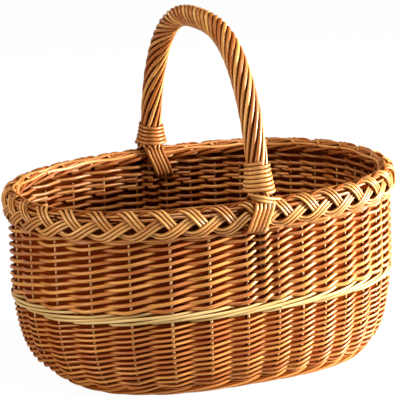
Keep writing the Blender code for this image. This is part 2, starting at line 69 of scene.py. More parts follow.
# Bands of the wall: the height or run where each ends, and its rows and rods
FOOT_RUN = 0.014
FOOT_RODS = 4
FOOT_RADIUS = 0.0023
FOOT_ROWS = 8
FOOT_ROW_RADIUS = 0.0015
# Dark rings in the foot: painted shade behind its strokes
FOOT_SHADE_RUNS = (0.004, 0.0085)
FOOT_SHADE_LIFT = 0.0024
FOOT_SHADE_RADIUS = 0.0017
LOWER_TOP = 0.0825
LOWER_ROWS = 24
LOWER_RADIUS = 0.00175
BAND_TOP = 0.0955
BAND_RODS = 4
BAND_RADIUS = 0.0019
BAND_OVERLAP = 0.0012
WALE_SWAY = 0.0007
UPPER_TOP = 0.1615
UPPER_ROWS = 16
UPPER_RADIUS = 0.00225
TOP_WALE_ROWS = 2
TOP_WALE_RADIUS = 0.0021
POINTS_PER_GAP = 8
CREST_SHARE = 0.96
ROW_END = 0.7
STROKE_TILT = 0.26
ROW_JITTER = 0.00030
# Dark slips in the middle of each siding: painted shade between its rows
SHADE_SLIP_RADIUS = 0.0006
SHADE_SLIP_SHARE = 1.15
SHADE_RING_STEPS = 150
TAPER_SHARE = 0.1

# Border: four strands of three rods plaited over the rim, on a core of straight rods painted dark as shade
BORDER_TOP = 0.203
BORDER_HALF_HEIGHT = 0.017
BORDER_OVERHANG = 0.0015
PLAIT_HALF_HEIGHT = 0.0128
PLAIT_HALF_THICKNESS = 0.0068
PLAIT_COUNT = 36
PLAIT_STRANDS = 4
PLAIT_RODS = 3
PLAIT_SWING = 0.0150
PLAIT_SKEW = 0.5
PLAIT_LIFT = 0.0024
PLAIT_LEAD = 0.45
PLAIT_ROD_RADIUS = 0.0018
PLAIT_ROD_PITCH = 0.0036
PLAIT_MIDDLE = 0.0036
PLAIT_POINTS = 48
CORE_RADIUS = 0.0032
# Depth given to the core rods, so that the willow paints them near black as shade
CORE_SHADE_DEPTH = -0.01
INNER_ROD_RADIUS = 0.0020
INNER_TIP_RADIUS = 0.0016
INNER_STROKE_RODS = 2
INNER_LOW_ARC = 0.0235
INNER_HIGH_ARC = 0.0125
INNER_LIFT = 0.0030
INNER_SHADE = 0.19
HIDDEN_ROWS = 6
CROWN_PLACES = ((0.0172, 0.0030), (0.0206, 0.0030), (-0.0135, 0.0008), (0.0130, 0.0), (0.0090, -0.0006))
INNER_STROKE_PLAITS = 2.4

# Handle: the bow, and the rope of ten rods round it
BOW_RADIUS = 0.0065
BOW_BORDER_RADIUS = 0.0058
BOW_SHOULDER_RADIUS = 0.0048
BOW_TIP_RADIUS = 0.0016
BOW_TIP_CLEARANCE = 0.004
BOW_TOP = 0.371
BOW_HALF_WIDTH = 0.1385
BOW_SHIFT = 0.004
BOW_SPRING = 0.189
BOW_SIDE_SQUARENESS = 2.7
BOW_CROWN_SQUARENESS = 2.04
ROPE_RODS_EACH = 5
ROPE_HALF_TURNS = 7
ROPE_FOOT_TWIST_SHARE = 0.35
ROPE_RADIUS = 0.0092
ROPE_BUTT_RADIUS = 0.0026
ROPE_TIP_RADIUS = 0.0022
ROPE_TAIL_RADIUS = 0.0021
ROPE_FOOT_HEIGHT = 0.2075
ROPE_POINTS = 130
TAIL_PITCH = 0.0047
INNER_TAIL_PITCH = 0.0042
INNER_TAIL_SHADE = 0.15
TAIL_LEAN = 0.015
TAIL_TUCK = 0.003

# Lashings: one rod wound round each leg above the border
LASH_RADIUS = 0.0021
LASH_PITCH = 0.0043
LASH_START = 0.0030
LASH_COIL_RADIUS = 0.0119
LASH_FLARE = 0.30
NEAR_LASH_TURNS = 7
FAR_LASH_TURNS = 5
LASH_POINTS_PER_TURN = 28

# Base: splayed sticks, and the weave paired round them
BASE_MIDDLE = 0.00675
BASE_EDGE = 0.0010
BASE_ROWS = 29
BASE_ROD_RADIUS = 0.0017
BASE_FILL = 1.12
BASE_LIFT = 0.0031
BASE_SLIP_RADIUS = 0.0014
STICK_WIDTH = 0.0075
STICK_THICKNESS = 0.003
STICK_POINTS = 12
LONG_STICKS = 3
LONG_PITCH = 0.0098
LONG_STICK_HEIGHT = 0.0084
LONG_STICK_COVER = 0.006
LONG_SPLAY_SHARE = 2.4
CROSS_STICKS = 4
CROSS_PITCH = 0.032
CROSS_STICK_HEIGHT = 0.0051
CROSS_STICK_COVER = 0.012
CROSS_SPLAY_SHARE = 1.75
BASE_HALF_LENGTH = 0.1462
BASE_HALF_WIDTH = 0.1147
CROSSED_HALF_LENGTH = (CROSS_STICKS - 1) / 2 * CROSS_PITCH + STICK_WIDTH / 2
CROSSED_HALF_WIDTH = (LONG_STICKS - 1) / 2 * LONG_PITCH + STICK_WIDTH / 2

# View: the photograph's camera, from the front left and a little above
VIEW_AZIMUTH = -24.2
VIEW_ELEVATION = 13.78
VIEW_ROLL = -1.944
VIEW_DISTANCE = 3.0287
VIEW_FOCAL_PIXELS = 2822.0
VIEW_TARGET = (-0.0007, 0.0, 0.1732)
PHOTO_PIXELS = 400.0
SENSOR_WIDTH = 36.0

FRONT = math.atan(BOW_SHIFT / RIM_HALF_WIDTH) - math.pi / 2
BACK = -FRONT
BORDER_BOTTOM = BORDER_TOP - 2 * BORDER_HALF_HEIGHT
BORDER_MIDDLE = BORDER_TOP - BORDER_HALF_HEIGHT
UP = Vector((0, 0, 1))
SKY_STRENGTH = 0.06
chance = random.Random(7)


@dataclass
class Rod:
    """A willow rod: the points of its middle, the way out of the basket and its radius at each, and its tone.

    depths are how far out of the weave's middle each point stands, and full is the most that one can be; from them the
    willow paints shade in hollows and inside the basket.
    presses are how much wider the rod is along the wall than out of it.
    """

    points: list
    outs: list
    radii: list
    tone: float
    depths: list = None
    full: float = 1.0
    presses: list = None


# Wall surface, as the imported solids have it


def oval_radius(direction, half_length, half_width, squareness):
    along = abs(math.cos(direction)) / half_length
    across = abs(math.sin(direction)) / half_width
    return (along**squareness + across**squareness) ** (-1 / squareness)


def turn_height(angle):
    return SEAT_HEIGHT + (TURN_HEIGHT - SEAT_HEIGHT) * (1 - math.cos(angle) ** (2 / TURN_SQUARENESS))


def turn_share(angle):
    return 1 - math.sin(angle) ** (2 / TURN_SQUARENESS)


def measure_profile():
    angles = [math.pi / 2 * step / PROFILE_STEPS for step in range(PROFILE_STEPS + 1)]
    runs = [0.0]
    for low, high in zip(angles, angles[1:]):
        climb = turn_height(high) - turn_height(low)
        reach = SIDE_INSET * (turn_share(low) - turn_share(high))
        runs.append(runs[-1] + math.hypot(climb, reach))
    return angles, runs


TURN_ANGLES, TURN_RUNS = measure_profile()


def run_at(height):
    """The distance up the side wall at a height above the ground."""
    if height >= TURN_HEIGHT:
        return TURN_RUNS[-1] + height - TURN_HEIGHT
    step = bisect_right([turn_height(angle) for angle in TURN_ANGLES], height) - 1
    low = turn_height(TURN_ANGLES[step])
    high = turn_height(TURN_ANGLES[step + 1])
    part = (height - low) / (high - low)
    return TURN_RUNS[step] + part * (TURN_RUNS[step + 1] - TURN_RUNS[step])


def wall_line(direction, run):
    if run >= TURN_RUNS[-1]:
        share = 0.0
        height = TURN_HEIGHT + run - TURN_RUNS[-1]
    else:
        step = bisect_right(TURN_RUNS, max(run, 0)) - 1
        part = (max(run, 0) - TURN_RUNS[step]) / (TURN_RUNS[step + 1] - TURN_RUNS[step])
        angle = TURN_ANGLES[step] + part * (TURN_ANGLES[step + 1] - TURN_ANGLES[step])
        share = turn_share(angle)
        height = turn_height(angle)
    half_length = RIM_HALF_LENGTH - END_INSET * share
    half_width = RIM_HALF_WIDTH - SIDE_INSET * share
    squareness = RIM_SQUARENESS + (BASE_SQUARENESS - RIM_SQUARENESS) * share
    radius = oval_radius(direction, half_length, half_width, squareness)
    return Vector((radius * math.cos(direction), radius * math.sin(direction), height))


def wall_out(direction, run):
    """Unit vector straight out of the wall."""
    turn = PROBE / RIM_HALF_LENGTH
    along = wall_line(direction + turn, run) - wall_line(direction - turn, run)
    up = wall_line(direction, run + PROBE) - wall_line(direction, run - PROBE)
    return along.cross(up).normalized()


def rim_lengths():
    """Directions round the rim and the distance along the line of the stakes to each."""
    angles = [FRONT + 2 * math.pi * step / RING_STEPS for step in range(RING_STEPS + 1)]
    points = [wall_line(angle, TURN_RUNS[-1]) for angle in angles]
    lengths = [0.0]
    for here, there in zip(points, points[1:]):
        lengths.append(lengths[-1] + (there - here).length)
    return angles, lengths


RIM_ANGLES, RIM_LENGTHS = rim_lengths()


def rim_direction(length):
    """The direction at a distance round the rim from the front leg."""
    turns, rest = divmod(length, RIM_LENGTHS[-1])
    step = min(bisect_right(RIM_LENGTHS, rest) - 1, RING_STEPS - 1)
    part = (rest - RIM_LENGTHS[step]) / (RIM_LENGTHS[step + 1] - RIM_LENGTHS[step])
    return RIM_ANGLES[step] + part * (RIM_ANGLES[step + 1] - RIM_ANGLES[step]) + 2 * math.pi * turns


def rim_length(direction):
    """The distance round the rim from the front leg to a direction."""
    step = min(bisect_right(RIM_ANGLES, direction) - 1, RING_STEPS - 1)
    part = (direction - RIM_ANGLES[step]) / (RIM_ANGLES[step + 1] - RIM_ANGLES[step])
    return RIM_LENGTHS[step] + part * (RIM_LENGTHS[step + 1] - RIM_LENGTHS[step])


def stake_directions(start, end, count):
    """Directions of the stakes on one side of the handle, evenly spaced between the two bow legs."""
    pitch = (end - start - BOW_GAP) / (count - 1)
    return [rim_direction(start + BOW_GAP / 2 + pitch * stake) for stake in range(count)]


BACK_LEG_LENGTH = rim_length(BACK)
STAKES = stake_directions(0, BACK_LEG_LENGTH, STAKES_RIGHT)
STAKES += stake_directions(BACK_LEG_LENGTH, RIM_LENGTHS[-1], STAKES_LEFT)


def upright_at(uprights, place):
    """The direction at a place counted in uprights, going on round the basket past the last one."""
    number = math.floor(place)
    part = place - number
    count = len(uprights)
    low = uprights[number % count] + 2 * math.pi * (number // count)
    high = uprights[(number + 1) % count] + 2 * math.pi * ((number + 1) // count)
    return low + (high - low) * part


# Rods into meshes


def lay_rods(name, rods, sides):
    """One mesh of rods, with each rod's tone, the way along it and the masks for its painted shade kept for the willow.
    """
    curve = bpy.data.curves.new(name, "CURVE")
    curve.dimensions = "3D"
    curve.bevel_depth = 1.0
    curve.bevel_resolution = sides // 2 - 2
    for rod in rods:
        spline = curve.splines.new("POLY")
        spline.points.add(len(rod.points) - 1)
        for target, point, radius in zip(spline.points, rod.points, rod.radii):
            target.co = (*point, 1)
            target.radius = radius
    holder = bpy.data.objects.new(name, curve)
    bpy.context.scene.collection.objects.link(holder)
    bpy.context.view_layer.update()
    graph = bpy.context.evaluated_depsgraph_get()
    mesh = bpy.data.meshes.new_from_object(holder.evaluated_get(graph))
    bpy.data.objects.remove(holder)
    bpy.data.curves.remove(curve)
    mesh.name = name
    mark_rods(mesh, rods, sides)
    close_ends(mesh)
    mesh.shade_smooth()
    mesh.set_sharp_from_angle(angle=math.radians(70))
    thing = bpy.data.objects.new(name, mesh)
    bpy.context.scene.collection.objects.link(thing)
    return thing


def close_ends(mesh):
    bm = bmesh.new()
    bm.from_mesh(mesh)
    bmesh.ops.holes_fill(bm, edges=[edge for edge in bm.edges if edge.is_boundary])
    bmesh.ops.recalc_face_normals(bm, faces=bm.faces)
    bm.to_mesh(mesh)
    bm.free()


def mark_rods(mesh, rods, sides):
    """Press a mesh of rods flat, and write on its points what the willow reads: tone, grain and shadows."""
    count = len(mesh.vertices)
    places = np.zeros(count * 3, np.float32)
    mesh.vertices.foreach_get("co", places)
    places = places.reshape(-1, sides, 3)
    middles = np.array([point for rod in rods for point in rod.points], np.float32)
    outs = np.array([out for rod in rods for out in rod.outs], np.float32)
    spokes = places - middles[:, None, :]
    risen = (spokes * outs[:, None, :]).sum(axis=2, keepdims=True)
    pressed = np.concatenate([rod.presses or [0.0] * len(rod.points) for rod in rods])
    spokes += (spokes - risen * outs[:, None, :]) * pressed[:, None, None]
    mesh.vertices.foreach_set("co", (middles[:, None, :] + spokes).astype(np.float32).ravel())
    # Masks for painted shade: on the rod's flanks, in the weave's hollows and inside the basket
    flank_shades = []
    hollow_shades = []
    inside_shades = []
    row = 0
    for rod in rods:
        rise = risen[row : row + len(rod.points), :, 0]
        row += len(rod.points)
        flank_shades.append(1 - np.abs(rise) / np.array(rod.radii)[:, None])
        if rod.depths is None:
            hollow_shades.append(rise * 0)
            inside_shades.append(rise * 0)
        else:
            stands = rise + np.array(rod.depths)[:, None]
            hollow_shades.append(1 - np.abs(stands / rod.full))
            inside_shades.append(-stands / np.array(rod.radii)[:, None])
    tone = np.repeat([rod.tone for rod in rods], [len(rod.points) for rod in rods])
    along = []
    for rod in rods:
        steps = [0.0] + [(there - here).length for here, there in zip(rod.points, rod.points[1:])]
        along.append(np.cumsum(steps) + chance.uniform(0, 9))
    along = np.concatenate(along)
    turns = np.arange(sides) * 2 * math.pi / sides
    radii = np.array([radius for rod in rods for radius in rod.radii])
    grain = np.empty((len(middles), sides, 3), np.float32)
    grain[:, :, 0] = along[:, None]
    grain[:, :, 1] = radii[:, None] * np.cos(turns)[None, :]
    grain[:, :, 2] = radii[:, None] * np.sin(turns)[None, :]
    for name, values in (("rod_flank_shade", flank_shades), ("rod_hollow_shade", hollow_shades), ("rod_inside_shade", inside_shades)):
        shadow = mesh.attributes.new(name, "FLOAT", "POINT")
        shadow.data.foreach_set("value", np.clip(np.concatenate(values), 0, 1).astype(np.float32).ravel())
    shade = mesh.attributes.new("rod_tone", "FLOAT", "POINT")
    shade.data.foreach_set("value", np.repeat(tone, sides).astype(np.float32))
    run = mesh.attributes.new("rod_grain", "FLOAT_VECTOR", "POINT")
    run.data.foreach_set("vector", grain.ravel())


def settle(thing, material, nodes):
    """Give a finished piece its willow, and set it on the basket in place of the solids it stands for."""
    thing.data.materials.append(material)
    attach(thing, "root")
    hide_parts(*nodes)


def smooth_line(places, steps):
    """Points of a smooth line through places, with a number of steps to each span."""
    line = []
    for number in range(len(places) - 1):
        before = places[max(number - 1, 0)]
        here = places[number]
        there = places[number + 1]
        after = places[min(number + 2, len(places) - 1)]
        for step in range(steps):
            part = step / steps
            bend_out = 2 * part**3 - 3 * part**2 + 1
            bend_in = 3 * part**2 - 2 * part**3
            leave = (there - before) / 2 * (part**3 - 2 * part**2 + part)
            reach = (after - here) / 2 * (part**3 - part**2)
            line.append(here * bend_out + there * bend_in + leave + reach)
    line.append(places[-1])
    return line


def taper(count, butt, tip):
    return [butt + (tip - butt) * step / (count - 1) for step in range(count)]


# Willow


def link(tree, source, target):
    tree.links.new(source, target)


def build_rod_group():
    """Streaks, leaf scars and drift of tone of a peeled willow rod, with painted shade on its flanks, in its hollows
    and inside the basket, where it also takes away shine.
    """
    tree = bpy.data.node_groups.new("peeled_rod", "ShaderNodeTree")
    for socket, kind, value in (
        ("Deep", "NodeSocketColor", (0.4, 0.15, 0.04, 1)),
        ("Pale", "NodeSocketColor", (0.8, 0.5, 0.2, 1)),
        ("Shade And Scar", "NodeSocketColor", (0.1, 0.03, 0.01, 1)),
        ("Shade Share", "NodeSocketFloat", 0.8),
        ("Streak Share", "NodeSocketFloat", 0.3),
    ):
        made = tree.interface.new_socket(socket, in_out="INPUT", socket_type=kind)
        made.default_value = value
    tree.interface.new_socket("Color", in_out="OUTPUT", socket_type="NodeSocketColor")
    for socket in ("Roughness", "Height", "Shine"):
        tree.interface.new_socket(socket, in_out="OUTPUT", socket_type="NodeSocketFloat")
    nodes = tree.nodes
    inlet = nodes.new("NodeGroupInput")
    outlet = nodes.new("NodeGroupOutput")
    grain = attribute_node(tree, "rod_grain")
    tone = attribute_node(tree, "rod_tone")
    flank_shade = attribute_node(tree, "rod_flank_shade")
    hollow_shade = attribute_node(tree, "rod_hollow_shade")

    streaks = noise_along(tree, grain, (35, 1300, 1300), 3.0)
    drift = noise_along(tree, grain, (14, 120, 120), 2.0)
    scars = noise_along(tree, grain, (26, 330, 330), 1.0)

    blend = math_node(tree, "ADD", tone.outputs["Fac"], ramp_node(tree, drift, 0.3, 0.7, -0.28, 0.28))
    streaked = math_node(tree, "MULTIPLY", ramp_node(tree, streaks, 0.3, 0.7, -1.0, 1.0), inlet.outputs["Streak Share"])
    blend = math_node(tree, "ADD", blend, streaked)
    colour = mix_node(tree, blend, inlet.outputs["Deep"], inlet.outputs["Pale"])
    scar = ramp_node(tree, scars, 0.66, 0.74, 0.0, 0.55)
    colour = mix_node(tree, scar, colour, inlet.outputs["Shade And Scar"])
    # Painted shade: the flanks, the weave's hollows and the inside of the basket go toward the shade colour
    side = math_node(tree, "POWER", ramp_node(tree, flank_shade.outputs["Fac"], 0.16, 0.72, 0.0, 1.0), 1.2)
    deep = math_node(tree, "POWER", ramp_node(tree, hollow_shade.outputs["Fac"], 0.60, 1.0, 0.0, 1.0), 1.3)
    side = math_node(tree, "MAXIMUM", side, deep)
    inner = attribute_node(tree, "rod_inside_shade").outputs["Fac"]
    side = math_node(tree, "MAXIMUM", side, math_node(tree, "MULTIPLY", inner, 0.12))
    side = math_node(tree, "MULTIPLY", side, inlet.outputs["Shade Share"])
    colour = mix_node(tree, side, colour, inlet.outputs["Shade And Scar"])
    # Painted shadow: near black deep inside the basket
    inside_shadow = math_node(tree, "MULTIPLY", math_node(tree, "MULTIPLY", inner, deep), 0.75)
    colour = mix_node(tree, inside_shadow, colour, (0.012, 0.0015, 0.0004, 1))
    link(tree, colour, outlet.inputs["Color"])

    # Painted shade also roughens the rod and takes away its shine
    rough = math_node(tree, "ADD", ramp_node(tree, streaks, 0.2, 0.8, 0.3, 0.5), math_node(tree, "MULTIPLY", side, 0.3))
    link(tree, rough, outlet.inputs["Roughness"])
    height = math_node(tree, "ADD", math_node(tree, "MULTIPLY", streaks, 0.6), scar)
    link(tree, height, outlet.inputs["Height"])
    link(tree, ramp_node(tree, side, 0.0, 0.6, 1.0, 0.0), outlet.inputs["Shine"])
    return tree


def attribute_node(tree, name):
    node = tree.nodes.new("ShaderNodeAttribute")
    node.attribute_name = name
    return node


def noise_along(tree, grain, scale, detail):
    """Noise drawn out along the rods: scale is per metre, along the rod and then across it."""
    mapping = tree.nodes.new("ShaderNodeMapping")
    mapping.inputs["Scale"].default_value = scale
    link(tree, grain.outputs["Vector"], mapping.inputs["Vector"])
    noise = tree.nodes.new("ShaderNodeTexNoise")
    noise.inputs["Scale"].default_value = 1.0
    noise.inputs["Detail"].default_value = detail
    link(tree, mapping.outputs["Vector"], noise.inputs["Vector"])
    return noise.outputs["Fac"]


def ramp_node(tree, value, low, high, bottom, top):
    node = tree.nodes.new("ShaderNodeMapRange")
    node.inputs["From Min"].default_value = low
    node.inputs["From Max"].default_value = high
    node.inputs["To Min"].default_value = bottom
    node.inputs["To Max"].default_value = top
    link(tree, value, node.inputs["Value"])
    return node.outputs["Result"]


def math_node(tree, operation, first, second):
    node = tree.nodes.new("ShaderNodeMath")
    node.operation = operation
    for socket, value in zip(node.inputs, (first, second)):
        if isinstance(value, (int, float)):
            socket.default_value = value
        else:
            link(tree, value, socket)
    return node.outputs["Value"]


def mix_node(tree, share, first, second):
    node = tree.nodes.new("ShaderNodeMix")
    node.data_type = "RGBA"
    node.clamp_factor = True
    link(tree, share, node.inputs["Factor"])
    link(tree, first, node.inputs["A"])
    if isinstance(second, tuple):
        node.inputs["B"].default_value = second
    else:
        link(tree, second, node.inputs["B"])
    return node.outputs["Result"]


ROD_GROUP = build_rod_group()


def willow(name, deep, pale, hollow_shade, shade_share=0.9, streak=0.16, bump=0.25):
    material = bpy.data.materials.new(name)
    material.use_nodes = True
    tree = material.node_tree
    shader = tree.nodes["Principled BSDF"]
    group = tree.nodes.new("ShaderNodeGroup")
    group.node_tree = ROD_GROUP
    group.inputs["Deep"].default_value = (*deep, 1)
    group.inputs["Pale"].default_value = (*pale, 1)
    # The third colour is where the painted shade goes; leaf scars take it too
    group.inputs["Shade And Scar"].default_value = (*hollow_shade, 1)
    group.inputs["Shade Share"].default_value = shade_share
    group.inputs["Streak Share"].default_value = streak
    bumps = tree.nodes.new("ShaderNodeBump")
    bumps.inputs["Strength"].default_value = bump
    bumps.inputs["Distance"].default_value = 0.0004
    link(tree, group.outputs["Color"], shader.inputs["Base Color"])
    link(tree, group.outputs["Roughness"], shader.inputs["Roughness"])
    link(tree, group.outputs["Height"], bumps.inputs["Height"])
    link(tree, bumps.outputs["Normal"], shader.inputs["Normal"])
    shine = group.outputs["Shine"]
    link(tree, math_node(tree, "MULTIPLY", shine, 0.8), shader.inputs["Specular IOR Level"])
    link(tree, math_node(tree, "MULTIPLY", shine, 0.3), shader.inputs["Coat Weight"])
    shader.inputs["Specular Tint"].default_value = (1.0, 0.93, 0.66, 1)
    shader.inputs["Coat Roughness"].default_value = 0.35
    return material


# Wall


def make_stakes(material):
    top = run_at(BORDER_BOTTOM) + BORDER_HALF_HEIGHT / 2
    for number, direction in enumerate(STAKES):
        inward = Vector((-math.cos(direction), -math.sin(direction), 0))
        points = [wall_line(direction, 0) + inward * STAKE_TAIL]
        outs = [wall_out(direction, 0)]
        for step in range(STAKE_POINTS):
            run = top * (step / (STAKE_POINTS - 1)) ** 1.4
            points.append(wall_line(direction, run))
            outs.append(wall_out(direction, run))
        radii = taper(len(points), STAKE_RADIUS, STAKE_TIP_RADIUS)
        rod = Rod(points, outs, radii, chance.uniform(0.45, 0.95))
        thing = lay_rods(f"willow_stake_{number + 1:02d}", [rod], 8)
        settle(thing, material, [f"stake_{number + 1:02d}"])


def wave(place):
    """1 in front of an upright and -1 behind the next, nearly straight between them."""
    return math.asin(CREST_SHARE * math.cos(math.pi * place)) / math.asin(CREST_SHARE)


def upright_radius(place, legs, run):
    """Radius of what a rod bends round: a stake, or a bow leg near its place."""
    number = round(place)
    if number in legs:
        return tang_radius(wall_line(FRONT, run).z)
    return STAKE_RADIUS


def tang_radius(height):
    """Radius of the bow leg inside the wall, from its tip above the band up to the border."""
    tip = BAND_TOP + BOW_TIP_CLEARANCE
    part = min(max((height - tip) / (BORDER_BOTTOM - tip), 0), 1)
    return BOW_TIP_RADIUS + (BOW_SHOULDER_RADIUS - BOW_TIP_RADIUS) * part


def shade_ring_rod(run, lift, radius):
    """A rod all the way round the wall, in its middle or lifted out of it, coloured dark all over as painted shade."""
    directions = [2 * math.pi * step / SHADE_RING_STEPS for step in range(SHADE_RING_STEPS + 1)]
    outs = [wall_out(direction, run) for direction in directions]
    points = [wall_line(direction, run) + out * lift for direction, out in zip(directions, outs)]
    return Rod(points, outs, [radius] * len(points), 0.0, [0.0] * len(points))


def shade_slip_rods(low, pitch, rows):
    """Flat slips in the middle of a siding, between its rows, so that no light comes through it, coloured dark all over
    as painted shade.
    """
    rods = []
    for row in range(rows + 1):
        run = low + pitch * row
        rod = shade_ring_rod(run, 0.0, SHADE_SLIP_RADIUS)
        rod.presses = []
        for step in range(SHADE_RING_STEPS + 1):
            direction = 2 * math.pi * step / SHADE_RING_STEPS
            gap = (wall_line(direction, run + pitch) - wall_line(direction, run)).length
            rod.presses.append(SHADE_SLIP_SHARE / 2 * gap / SHADE_SLIP_RADIUS - 1)
        rods.append(rod)
    return rods


def siding_rods(uprights, legs, low, high, rows, radius):
    """Rods side by side, one from each upright, each in front of one and behind the next as it climbs."""
    pitch = (high - low) / rows
    count = len(uprights)
    rods = []
    for start in range(count):
        jitters = [chance.gauss(0, ROW_JITTER) for _ in range(rows + 2)]
        steps = (rows + 2) * POINTS_PER_GAP
        points = []
        outs = []
        depths = []
        for step in range(steps + 1):
            climb = -0.95 + step / POINTS_PER_GAP
            if climb > rows - ROW_END:
                break
            place = start + climb
            number = max(math.floor(climb), 0)
            part = min(max(climb - number, 0), 1)
            jitter = jitters[number] * (1 - part) + jitters[number + 1] * part
            tilt = STROKE_TILT * math.sin(math.pi * climb)
            run = low + pitch * (min(max(climb + tilt, -0.3), rows - 0.7) + 0.5) + jitter
            direction = upright_at(uprights, place)
            reach = upright_radius(place % count, legs, run) + radius
            out = wall_out(direction, run)
            depths.append(reach * wave(climb))
            points.append(wall_line(direction, run) + out * depths[-1])
            outs.append(out)
        thick = radius * chance.uniform(0.97, 1.06)
        radii = taper(len(points), thick * (1 + TAPER_SHARE), thick * (1 - TAPER_SHARE))
        rods.append(Rod(points, outs, radii, chance.betavariate(2, 2), depths, STAKE_RADIUS + 2 * radius))
    # With dark slips in the middle: painted shade between the rows
    return rods + shade_slip_rods(low, pitch, rows)


def wale_rods(uprights, legs, low, high, weavers, radius):
    """Rods that each pass in front of all but one of their number of uprights, and rise as they do."""
    count = len(uprights)
    level = (high - low) / (weavers - 1)
    rods = []
    for weaver in range(weavers):
        points = []
        outs = []
        depths = []
        for step in range(count * POINTS_PER_GAP + 1):
            place = step / POINTS_PER_GAP
            phase = (place - weaver + 0.5) % weavers - 0.5
            if phase < 0.5:
                height = (0.5 - phase) * (weavers - 2)
                side = -math.cos(math.pi * phase)
            else:
                height = (phase - 0.5) * (weavers - 2) / (weavers - 1)
                side = min(-math.cos(math.pi * min(phase, 1)), -math.cos(math.pi * min(weavers - phase, 1)))
                side *= 0.65 + 0.6 * math.sin(math.pi * (phase - 0.5) / (weavers - 1))
            run = low + level * (height + 0.5) + WALE_SWAY * math.sin(1.7 * place + weaver)
            direction = upright_at(uprights, place)
            reach = upright_radius(place % count, legs, run) + radius
            out = wall_out(direction, run)
            depths.append(reach * side)
            points.append(wall_line(direction, run) + out * depths[-1])
            outs.append(out)
        radii = [radius * (1 + 0.06 * math.sin(place / 9 + weaver)) for place in range(len(points))]
        rods.append(Rod(points, outs, radii, chance.uniform(0.3, 0.9), depths, STAKE_RADIUS + 2 * radius))
    return rods


def make_wale(name, rods, material, slot):
    """A band of waling rods, in place of the solid of its slot."""
    settle(lay_rods(name, rods, 10), material, [slot])


def uprights_with_legs():
    """The stakes and the bow legs in order round the basket, and the places of the two legs among them."""
    legged = sorted(STAKES + [FRONT + 2 * math.pi, BACK])
    return legged, [legged.index(FRONT + 2 * math.pi), legged.index(BACK)]


def make_wall(wood):
    legged, legs = uprights_with_legs()
    lower_top = run_at(LOWER_TOP)
    band_top = run_at(BAND_TOP)
    upper_top = run_at(UPPER_TOP)
    wale_top = run_at(BORDER_BOTTOM) + TOP_WALE_RADIUS / 2
    foot = wale_rods(STAKES, [], 0, FOOT_RUN, FOOT_RODS, FOOT_RADIUS)
    foot += siding_rods(STAKES, [], 0, FOOT_RUN, FOOT_ROWS, FOOT_ROW_RADIUS)
    # Dark rings just behind the foot's front strokes: painted shade in its gaps
    foot += [shade_ring_rod(run, FOOT_SHADE_LIFT, FOOT_SHADE_RADIUS) for run in FOOT_SHADE_RUNS]
    make_wale("foot_strokes", foot, wood["foot"], "foot_wale")
    lower = siding_rods(STAKES, [], FOOT_RUN, lower_top, LOWER_ROWS, LOWER_RADIUS)
    settle(lay_rods("lower_strokes", lower, 8), wood["lower"], ["lower_siding"])
    band = wale_rods(STAKES, [], lower_top - BAND_OVERLAP, band_top + BAND_OVERLAP, BAND_RODS, BAND_RADIUS)
    # Dark slips behind the band: painted shade between its rods
    band += shade_slip_rods(lower_top, (band_top - lower_top) / BAND_RODS, BAND_RODS)
    make_wale("cream_strokes", band, wood["cream"], "cream_band")
    upper = siding_rods(legged, legs, band_top, upper_top, UPPER_ROWS, UPPER_RADIUS)
    settle(lay_rods("upper_strokes", upper, 8), wood["upper"], ["upper_siding"])
    top = siding_rods(legged, legs, upper_top, wale_top, TOP_WALE_ROWS, TOP_WALE_RADIUS)
    settle(lay_rods("top_strokes", top, 8), wood["upper"], ["top_wale"])


# Border


def border_arcs():
    """Angles round the section of the plait's middle layer, and the distance along it from the outer face."""
    angles = [math.pi * 1.5 * (step / PROFILE_STEPS) - math.pi / 2 for step in range(-60, PROFILE_STEPS + 61)]
    arcs = [0.0]
    for low, high in zip(angles, angles[1:]):
        out = PLAIT_HALF_THICKNESS * (math.cos(high) - math.cos(low))
        up = PLAIT_HALF_HEIGHT * (math.sin(high) - math.sin(low))
        arcs.append(arcs[-1] + math.hypot(out, up))
    middle = arcs[bisect_right(angles, 0.0)]
    return angles, [arc - middle for arc in arcs]


BORDER_ANGLES, BORDER_ARCS = border_arcs()


def border_place(length, arc, lift):
    """A point on the border: distance round the rim, distance up and over its section, and lift off it."""
    step = min(max(bisect_right(BORDER_ARCS, arc) - 1, 0), len(BORDER_ARCS) - 2)
    part = (arc - BORDER_ARCS[step]) / (BORDER_ARCS[step + 1] - BORDER_ARCS[step])
    angle = BORDER_ANGLES[step] + part * (BORDER_ANGLES[step + 1] - BORDER_ANGLES[step])
    direction = rim_direction(length)
    out = wall_out(direction, run_at(BORDER_MIDDLE))
    middle = wall_line(direction, run_at(BORDER_MIDDLE)) + out * BORDER_OVERHANG
    normal = out * (math.cos(angle) / PLAIT_HALF_THICKNESS) + UP * (math.sin(angle) / PLAIT_HALF_HEIGHT)
    normal.normalize()
    face = out * (PLAIT_HALF_THICKNESS * math.cos(angle)) + UP * (PLAIT_HALF_HEIGHT * math.sin(angle))
    return middle + face + normal * lift, normal


